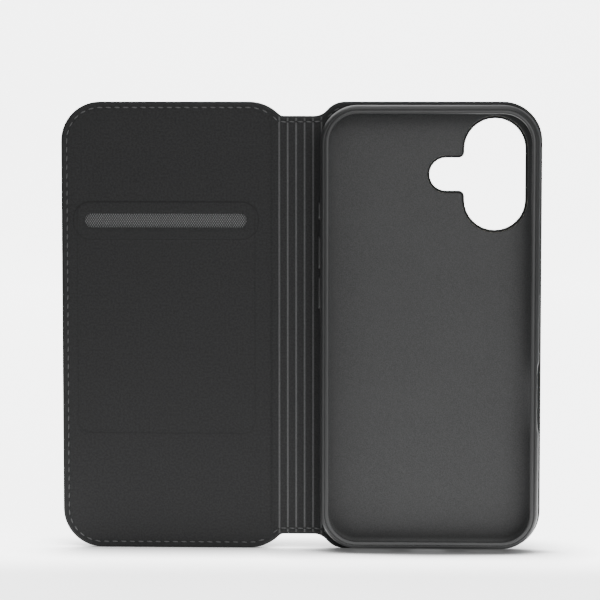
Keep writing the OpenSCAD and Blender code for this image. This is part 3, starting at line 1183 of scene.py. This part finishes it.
@dataclass(frozen=True)
class MeshCloth:
    """The mesh cloth at the back of the card pocket, with its knitted loops where the slot shows them."""

    pocket: CardPocket
    pitch_x: float = 0.79
    pitch_z: float = 1.18
    loop_height: float = 0.12 * MM
    thickness: float = 0.15 * MM

    def loop_at(self, x: float, z: float) -> float:
        """Share of a loop's height at one place.

        Args:
            x: Place along X.
            z: Place along Z.

        Returns:
            A share from 0 to 1.
        """
        nearest = 9.0
        for shift in (0.0, 0.5):
            dx = abs((x / MM / self.pitch_x + shift + 100) % 1 - 0.5) * 2
            dz = abs((z / MM / self.pitch_z + shift + 100) % 1 - 0.5) * 2
            nearest = min(nearest, dx * dx + dz * dz)
        return smooth_step(nearest, 0.6, 0.05)

    def build(self, finishes: Finishes) -> None:
        """Builds the cloth.

        Args:
            finishes: The finishes of the case.
        """
        low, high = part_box("pocket_mesh")
        x, z, length, width = self.pocket.slot
        middle = (low + high) / 2
        bm = bmesh.new()
        size = high - low
        matrix = Matrix.Translation(middle) @ Matrix.Diagonal((size.x, self.thickness, size.z, 1))
        bmesh.ops.create_cube(bm, size=1, matrix=matrix)
        half = (length / 2 + MM, width / 2 + 0.8 * MM)
        cut_across(bm, "Z", (z - half[1], z + half[1]))
        cut_across(bm, "X", spread(x - half[0], x + half[0], 8 * MM))
        front = []
        for face in bm.faces:
            at = face.calc_center_median()
            if face.normal.y < -0.5 and abs(at.z - z) < half[1] and abs(at.x - x) < half[0]:
                front.append(face)
        edges = list({e for f in front for e in f.edges})
        bmesh.ops.subdivide_edges(bm, edges=edges, cuts=35, use_grid_fill=True)
        face_y = low.y
        for v in bm.verts:
            dx, dz = abs(v.co.x - x), abs(v.co.z - z)
            if v.co.y < middle.y and dx < half[0] - 0.1 * MM and dz < half[1] - 0.1 * MM:
                v.co.y = face_y - self.loop_height * self.loop_at(v.co.x, v.co.z)
        piece = finished(bm, "pocket_mesh_cloth", [finishes.mesh], 75)
        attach(piece, "flap")
        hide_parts("pocket_mesh")


# ---------- the seams ----------


@dataclass(frozen=True)
class Seam:
    """One row of stitches round the cover, inside or outside."""

    cover: Cover
    inset: float = 2.0 * MM
    pitch: float = 2.95 * MM
    stitch: tuple[float, float, float] = (1.9 * MM, 0.42 * MM, 0.2 * MM)
    hole_shade: tuple[float, float] = (0.62 * MM, 0.1 * MM)

    def stations(self) -> list[tuple[Vector, float]]:
        """Even places along the stitch line, each with its direction.

        Returns:
            Pairs of a place at the outer face and the angle of the line there.
        """
        bm = bmesh.new()
        loop = self.cover.outline(bm, self.inset, 0)
        edges, at = set(loop), min({v for e in loop for v in e.verts}, key=lambda v: (v.co.z, v.co.x))
        points = [at.co.copy()]
        while edges:
            edge = next(e for e in at.link_edges if e in edges)
            edges.remove(edge)
            at = edge.other_vert(at)
            points.append(at.co.copy())
        bm.free()
        lengths = [(b - a).length for a, b in zip(points, points[1:])]
        count = round(sum(lengths) / self.pitch)
        step, done, out = sum(lengths) / count, 0.0, []
        for a, b, length in zip(points, points[1:], lengths):
            while len(out) < count and (len(out) + 0.5) * step <= done + length:
                share = ((len(out) + 0.5) * step - done) / length
                out.append((a.lerp(b, share), math.atan2(b.z - a.z, b.x - a.x)))
            done += length
        return out

    def add(self, bm: bmesh.types.BMesh, place: Vector, angle: float, inward: float) -> None:
        """Adds one stitch and, at its end, a dark blob of painted shade for its needle hole.

        Args:
            bm: The mesh that takes them.
            place: Middle of the stitch on its sheet.
            angle: Direction of the stitch.
            inward: 1 on the inside of the cover and -1 on the outside.
        """
        turn = Matrix.Translation(place) @ Matrix.Rotation(-angle, 4, "Y")
        length, width, height = self.stitch
        sway = Matrix.Rotation(math.radians(4 * inward), 4, "Y")
        body = turn @ sway @ Matrix.Diagonal((length / 2, height, width / 2, 1))
        lying = body @ Matrix.Rotation(math.pi / 2, 4, "Y")
        bmesh.ops.create_uvsphere(bm, u_segments=8, v_segments=6, radius=1, matrix=lying)
        known = set(bm.faces)
        # painted shade: a dark blob stands where the needle hole's shade falls
        wide, deep = self.hole_shade
        hole_shade_blob = turn @ Matrix.Translation((self.pitch / 2, 0, 0)) @ Matrix.Diagonal((wide / 2, deep, wide / 2, 1))
        bmesh.ops.create_uvsphere(bm, u_segments=7, v_segments=4, radius=1, matrix=hole_shade_blob)
        for face in set(bm.faces) - known:
            face.material_index = 1

    def build(self, finishes: Finishes) -> None:
        """Sews the flap, the strips of the spine and the back cover.

        Args:
            finishes: The finishes of the case.
        """
        folds = self.cover.folds()
        lists: dict[str, list[tuple[Vector, float, float]]] = {}
        for place, angle in self.stations():
            if folds[-1] - 0.2 * MM < place.x < folds[0] + 0.2 * MM:
                continue
            on_flap = place.x < 0
            if min(abs(place.x - folds[-1]), abs(place.x - folds[0])) < 1.3 * MM:
                continue
            name = "flap_stitches" if on_flap else "back_stitches"
            lists.setdefault(name, []).append((place, angle, -1.0))
            if on_flap or self.clear_of_tray(place):
                lists[name].append((place, angle, 1.0))
        for number, (near, far) in enumerate(zip(folds, folds[1:]), 1):
            x = (near + far) / 2
            z = self.height_at(x)
            slope = (self.height_at(x + 0.5 * MM) - self.height_at(x - 0.5 * MM)) / MM
            for up in (1, -1):
                place = Vector((x, OUTER_Y, z if up > 0 else self.cover.height - z))
                both = [(place, up * math.atan(slope), side) for side in (1.0, -1.0)]
                lists.setdefault(f"spine_stitches_{number}", []).extend(both)
        for name, stitches in lists.items():
            self.sew(name, stitches, finishes)

    def clear_of_tray(self, place: Vector) -> bool:
        """Whether a stitch on the inside of the back cover lies wholly outside the tray.

        Args:
            place: Middle of the stitch.

        Returns:
            True where the whole stitch is clear.
        """
        low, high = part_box("tray_shell")
        corner = 12.6 * MM
        dx = max(abs(place.x - (low.x + high.x) / 2) - (high.x - low.x) / 2 + corner, 0)
        dz = max(abs(place.z - (low.z + high.z) / 2) - (high.z - low.z) / 2 + corner, 0)
        return math.hypot(dx, dz) > corner + 0.5 * MM

    def height_at(self, x: float) -> float:
        """Height of the top stitch line at one place along X.

        Args:
            x: The place.

        Returns:
            The height.
        """
        bm = bmesh.new()
        loop = self.cover.outline(bm, self.inset, 0)
        spans = [sorted((v.co for v in e.verts), key=lambda c: c.x) for e in loop]
        upper = [s for s in spans if s[0].z > self.cover.height / 2 and s[1].x > s[0].x]
        a, b = next(s for s in upper if s[0].x <= x <= s[1].x)
        height = a.z + (b.z - a.z) * (x - a.x) / (b.x - a.x)
        bm.free()
        return height

    def sew(self, name: str, stitches: list[tuple[Vector, float, float]], finishes: Finishes) -> None:
        """Builds the stitches of one body as one piece, in the place of its CAD node.

        Args:
            name: The CAD node that they replace.
            stitches: Place, angle and side of each.
            finishes: The finishes of the case.
        """
        bm = bmesh.new()
        for place, angle, inward in stitches:
            if inward > 0:
                depth = self.cover.hem_at(place.x) + 0.3 * MM
            else:
                depth = 0.11 * MM
            self.add(bm, Vector((place.x, OUTER_Y - depth, place.z)), angle, inward)
        bmesh.ops.recalc_face_normals(bm, faces=bm.faces[:])
        piece = finished(bm, name + "_thread", [finishes.thread, finishes.hole_shade], 80)
        body = {"flap_stitches": "flap", "back_stitches": "tray_half"}.get(name, name.replace("_stitches", ""))
        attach(piece, body)
        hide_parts(name)


# ---------- the tray ----------


@dataclass(frozen=True)
class Tray:
    """The moulded phone tray: bulged walls, a groove and a lip round its mouth, and a textured floor."""

    opening: CameraOpening
    centre: tuple[float, float] = (43.5 * MM, 76 * MM)
    phone: tuple[float, float, float] = (71.7 * MM, 147.7 * MM, 11.6 * MM)
    floor: float = 2.3 * MM
    wall_middle: float = 6.25 * MM
    dip: float = 0.45 * MM
    dip_z: tuple[float, float] = (40.6 * MM, 65.2 * MM)
    pads: tuple[tuple[str, str], ...] = (
        ("action_button_pad", "action_button"), ("volume_up_pad", "volume_up_button"),
        ("volume_down_pad", "volume_down_button"), ("side_button_pad", "side_button"),
    )
    # Each ring: outset at the sides, outset at the ends, depth, in millimetres
    rings: tuple[tuple[float, float, float], ...] = (
        (0.1, 0.1, 1.4), (0.24, 0.24, 1.44), (0.5, 0.5, 1.72), (0.78, 0.78, 2.3), (0.93, 0.93, 3.1),
        (1.0, 1.0, 4.3), (1.0, 1.0, 6.4), (0.94, 0.94, 7.6), (0.82, 0.8, 8.6), (0.62, 0.6, 9.4),
        (0.4, 0.36, 10.0), (0.14, 0.08, 10.48), (-0.14, -0.2, 10.78), (-0.36, -0.4, 10.92),
        (-0.5, -0.52, 10.9), (-0.6, -0.6, 10.74), (-0.68, -0.68, 10.74), (-0.78, -0.77, 10.95),
        (-0.88, -0.86, 11.12), (-1.05, -1.02, 11.19), (-1.5, -1.42, 11.2), (-1.88, -1.78, 11.15),
        (-2.03, -1.92, 11.0), (-2.08, -1.97, 10.8), (-2.02, -1.9, 10.56), (-1.8, -1.68, 10.36),
        (-1.3, -1.2, 10.24), (-0.75, -0.7, 10.05), (-0.3, -0.3, 9.6), (-0.08, -0.08, 8.9),
        (0.0, 0.0, 8.0), (0.0, 0.0, 4.2), (-0.1, -0.1, 3.6), (-0.38, -0.38, 3.0), (-0.8, -0.8, 2.6),
        (-1.35, -1.35, 2.37), (-1.9, -1.9, 2.3), (-2.15, -2.15, 2.3),
    )
    rim: Profile = ((0.86, 1.4), (0.8, 1.5), (0.8, 2.05), (0.86, 2.22), (1.0, 2.29), (1.12, 2.3), (1.3, 2.3))

    def ring(self, bm: bmesh.types.BMesh, side: float, end: float, depth: float) -> Loop:
        """Draws the tray's outline, outset differently at its sides and its ends.

        Args:
            bm: The mesh that takes it.
            side: Outset at the long sides.
            end: Outset at the short sides.
            depth: Depth behind the outer face.

        Returns:
            The outline's edges.
        """
        width, height, corner = self.phone
        radius = corner + (side + end) / 2
        return rounded_loop(bm, self.centre, width + 2 * side, height + 2 * end, radius, depth, 16)

    def right_dip(self, z: float) -> float:
        """How far the right wall's outside is pressed in at one height.

        Args:
            z: The height.

        Returns:
            The depth of the dip.
        """
        low, high = self.dip_z
        ramp = 2.4 * MM
        return self.dip * smooth_step(z, low, low + ramp) * smooth_step(z, high, high - ramp)

    def shell(self) -> bmesh.types.BMesh:
        """Builds the tray's shell without its side openings.

        Returns:
            The mesh.
        """
        bm = bmesh.new()
        loops = [self.ring(bm, side * MM, end * MM, depth * MM) for side, end, depth in self.rings]
        holes = [self.opening.outline(bm, outset * MM, depth * MM) for outset, depth in self.rim]
        loft(bm, loops)
        loft(bm, holes)
        bmesh.ops.triangle_fill(bm, edges=loops[0] + holes[0], use_beauty=True)
        bmesh.ops.triangle_fill(bm, edges=loops[-1] + holes[-1], use_beauty=True)
        recalculated(bm)
        low, high = self.dip_z
        fine = 0.5 * MM
        cut_across(bm, "Z", spread(low - fine, low + 3 * MM, fine) + spread(high - 3 * MM, high + fine, fine))
        outside = self.centre[0] + self.phone[0] / 2
        for v in bm.verts:
            if v.co.x > outside + 0.1 * MM:
                share = smooth_step(v.co.x, outside + 0.1 * MM, outside + 0.7 * MM)
                v.co.x -= self.right_dip(v.co.z) * share
        for face in bm.faces:
            middle = face.calc_center_median()
            inside = abs(middle.x - self.centre[0]) < self.phone[0] / 2 - 0.3 * MM
            inside = inside and abs(middle.z - self.centre[1]) < self.phone[1] / 2 - 0.3 * MM
            level = OUTER_Y - middle.y
            face.material_index = int(inside and self.floor - 0.1 * MM < level < 3.0 * MM)
        return bm

    def windows(self) -> bmesh.types.BMesh:
        """Builds the shapes that the side openings are cut with.

        Returns:
            The mesh.
        """
        bm = bmesh.new()
        gap = 0.3 * MM
        y = OUTER_Y - self.wall_middle
        for node, _ in self.pads:
            low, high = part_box(node)
            middle = (low + high) / 2
            size = (4 * MM, high.y - low.y + 2 * gap, high.z - low.z + 2 * gap)
            slot_prism(bm, middle, size, "X")
        right = self.centre[0] + self.phone[0] / 2
        slot_prism(bm, Vector((right + 0.5 * MM, y, 52.9 * MM)), (4 * MM, 5 * MM, 19.5 * MM), "X")
        bottom = self.centre[1] - self.phone[1] / 2
        slot_prism(bm, Vector((self.centre[0], y, bottom - 0.5 * MM)), (12.5 * MM, 5.6 * MM, 4 * MM), "Z")
        for side in (-19 * MM, 19 * MM):
            middle = Vector((self.centre[0] + side, y, bottom - 0.5 * MM))
            slot_prism(bm, middle, (13 * MM, 2.4 * MM, 4 * MM), "Z")
        return bm

    def build(self, finishes: Finishes) -> None:
        """Builds the shell with its openings.

        Args:
            finishes: The finishes of the case.
        """
        piece = finished(self.shell(), "phone_tray", [finishes.wall, finishes.floor])
        carved(piece, self.windows())
        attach(piece, "tray_half")
        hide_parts("tray_shell")
        for node, body in self.pads:
            self.pad(node, body, finishes)

    def pad(self, node: str, body: str, finishes: Finishes) -> None:
        """Builds one button pad with a rounded rim, in the place of its CAD node.

        Args:
            node: Its CAD node.
            body: The body that it moves with.
            finishes: The finishes of the case.
        """
        low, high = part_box(node)
        size = high - low
        bm = bmesh.new()
        slot_prism(bm, (low + high) / 2, tuple(size), "X", round_rim=0.36 * MM)
        recalculated(bm)
        piece = finished(bm, node + "_moulded", [finishes.wall])
        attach(piece, body)
        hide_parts(node)


@dataclass(frozen=True)
class InnerLayers:
    """The boards, glue and reinforcement inside the cover, which keep their CAD shapes."""

    def dress(self, finishes: Finishes) -> None:
        """Gives each node the finish of its material.

        Args:
            finishes: The finishes of the case.
        """
        finish = {
            "flap_board": finishes.board, "back_board": finishes.board,
            "flap_glue_sheet": finishes.glue, "tray_glue_film": finishes.glue,
            "back_lining": finishes.lining, "slot_reinforcement": finishes.wall,
        }
        for node, material in finish.items():
            mesh = frame["nodes"][node].data
            for number in range(len(mesh.materials)):
                mesh.materials[number] = material
            LOG.info("%s: dressed", node)


# ---------- the studio ----------


@dataclass(frozen=True)
class Lamp:
    """A soft square light."""

    name: str
    place: tuple[float, float, float]
    target: tuple[float, float, float]
    size: float
    watts: float

    def build(self) -> None:
        """Hangs the light."""
        data = bpy.data.lights.new(self.name, "AREA")
        data.shape, data.size, data.energy = "SQUARE", self.size, self.watts
        lamp = bpy.data.objects.new(self.name, data)
        lamp.location = self.place
        lamp.rotation_euler = (Vector(self.target) - Vector(self.place)).to_track_quat("-Z", "Y").to_euler()
        bpy.context.scene.collection.objects.link(lamp)


@dataclass(frozen=True)
class Studio:
    """Pale floor that sweeps up behind the case, glowing in a painted pool of light with painted shadow round
    the case, soft lights and the camera.
    """

    lens: float = 150.8
    eye: tuple[float, float, float] = (0.032, -0.844, 0.152)
    tilt: float = 85.5
    pan: float = 2.18
    shift: tuple[float, float] = (0.0, -0.0012)
    floor_front: float = -2.5
    floor_back: float = 1.2
    lamps: tuple[Lamp, ...] = (
        Lamp("front_light", (0.4, -0.7, 0.34), (0.0, 0.0, 0.15), 0.5, 6.4),
        Lamp("upper_light", (0.05, -0.38, 0.42), (0.0, 0.0, 0.15), 0.3, 1.3),
        Lamp("top_light", (0.0, 0.1, 1.25), (0.0, 0.0, 0.08), 1.0, 6.0),
        Lamp("left_light", (-1.0, -0.6, 0.4), (0.0, 0.0, 0.08), 0.6, 2.0),
        Lamp("back_light", (-0.3, 1.1, 0.8), (0.0, 0.0, 0.08), 0.8, 5.0),
    )
    sky: float = 0.3
    # strength of the floor's painted glow
    glow: float = 4.6

    def floor(self) -> None:
        """Builds the floor and the wall that it sweeps up into, which glow in a painted pool of light darkened
        by painted shadow round the case.
        """
        bm = bmesh.new()
        start = bm.verts.new((-3, self.floor_front, 0))
        pulled = bmesh.ops.extrude_vert_indiv(bm, verts=[start])["verts"]
        bmesh.ops.translate(bm, verts=pulled, vec=(0, self.floor_back - self.floor_front, 0))
        centre = (-3, self.floor_back, 0.5)
        bmesh.ops.spin(bm, geom=pulled, cent=centre, axis=(1, 0, 0), angle=math.radians(90), steps=24)
        top = max(bm.verts, key=lambda v: v.co.z)
        raised = bmesh.ops.extrude_vert_indiv(bm, verts=[top])["verts"]
        bmesh.ops.translate(bm, verts=raised, vec=(0, 0, 2))
        wide = bmesh.ops.extrude_edge_only(bm, edges=bm.edges[:])["geom"]
        side = [g for g in wide if isinstance(g, bmesh.types.BMVert)]
        bmesh.ops.translate(bm, verts=side, vec=(6, 0, 0))
        bmesh.ops.recalc_face_normals(bm, faces=bm.faces[:])
        if sum(f.normal.z for f in bm.faces) < 0:
            bmesh.ops.reverse_faces(bm, faces=bm.faces[:])
        s = Sheet("studio_floor")
        at = s.place(flat=False)
        aside, away, up = (s.axis(at, name) for name in "XYZ")
        # painted light: the floor glows in a pool round the case, dimmer just in front of it and fading up the
        # wall
        painted_light_pool = s.fit(s.math("SUBTRACT", s.math("ABSOLUTE", aside), s.math("MULTIPLY", away, 0.16)), 215, 125)
        painted_light_pool = s.math("MULTIPLY", painted_light_pool, s.fit(away, -150, -92))
        painted_light_pool = s.math("MULTIPLY", painted_light_pool, s.fit(away, -50, -10, 0.55, 1.0))
        painted_light_pool = s.math("MULTIPLY", painted_light_pool, s.fit(up, 600, 300))
        # painted shadow: occlusion near the case and a fixed strip under the tray half darken the floor's glow
        # and colour
        close = s.tree.nodes.new("ShaderNodeAmbientOcclusion")
        close.samples = 12
        close.inputs["Distance"].default_value = 0.024
        shade = s.math("MAXIMUM", s.math("MULTIPLY_ADD", close.outputs["AO"], 1.176, -0.176), 0.0)
        along = s.math("DIVIDE", s.math("SUBTRACT", aside, 44), 38)
        reach = s.math("SUBTRACT", 9, s.math("MULTIPLY", 9, s.math("MULTIPLY", along, along)))
        painted_contact_shadow = s.fit(s.math("SUBTRACT", s.math("ABSOLUTE", away), reach), -6, 5)
        shade = s.math("MULTIPLY", s.math("POWER", shade, 2.6), painted_contact_shadow)
        shade = s.math("MULTIPLY_ADD", shade, 0.98, 0.02)
        glow = s.math("MULTIPLY", s.math("MULTIPLY", painted_light_pool, shade), self.glow)
        s.surface(
            Base_Color=s.blend(shade, grey(0.12), grey(0.9)), Roughness=0.7, Specular_IOR_Level=0.1,
            Emission_Color=(1, 1, 1, 1), Emission_Strength=glow,
        )
        finished(bm, "studio_floor", [s.material])

    def build(self) -> None:
        """Builds the floor, the lights, the sky and the camera."""
        self.floor()
        for lamp in self.lamps:
            lamp.build()
        scene = bpy.context.scene
        world = bpy.data.worlds.new("studio_sky")
        world.use_nodes = True
        sky = world.node_tree.nodes["Background"]
        sky.inputs["Color"].default_value = (1, 1, 1, 1)
        sky.inputs["Strength"].default_value = self.sky
        scene.world = world
        data = bpy.data.cameras.new("camera")
        data.lens, data.sensor_width = self.lens, 36
        data.shift_x, data.shift_y = self.shift
        data.clip_start, data.clip_end = 0.01, 20
        camera = bpy.data.objects.new("camera", data)
        camera.location = self.eye
        camera.rotation_euler = (math.radians(self.tilt), 0, math.radians(self.pan))
        scene.collection.objects.link(camera)
        scene.camera = camera


def main() -> None:
    """Builds the case piece by piece, then the studio round it."""
    logging.basicConfig(level=logging.INFO, format="%(name)s: %(message)s", stream=sys.stdout)
    finishes = Finishes()
    cover, opening, pocket = Cover(), CameraOpening(), CardPocket()
    for part in (Skin(cover, opening), Lining(cover, pocket), MeshCloth(pocket), Seam(cover), Tray(opening)):
        LOG.info("building %s", type(part).__name__)
        part.build(finishes)
    InnerLayers().dress(finishes)
    Studio().build()


if __name__ == "__main__":
    main()
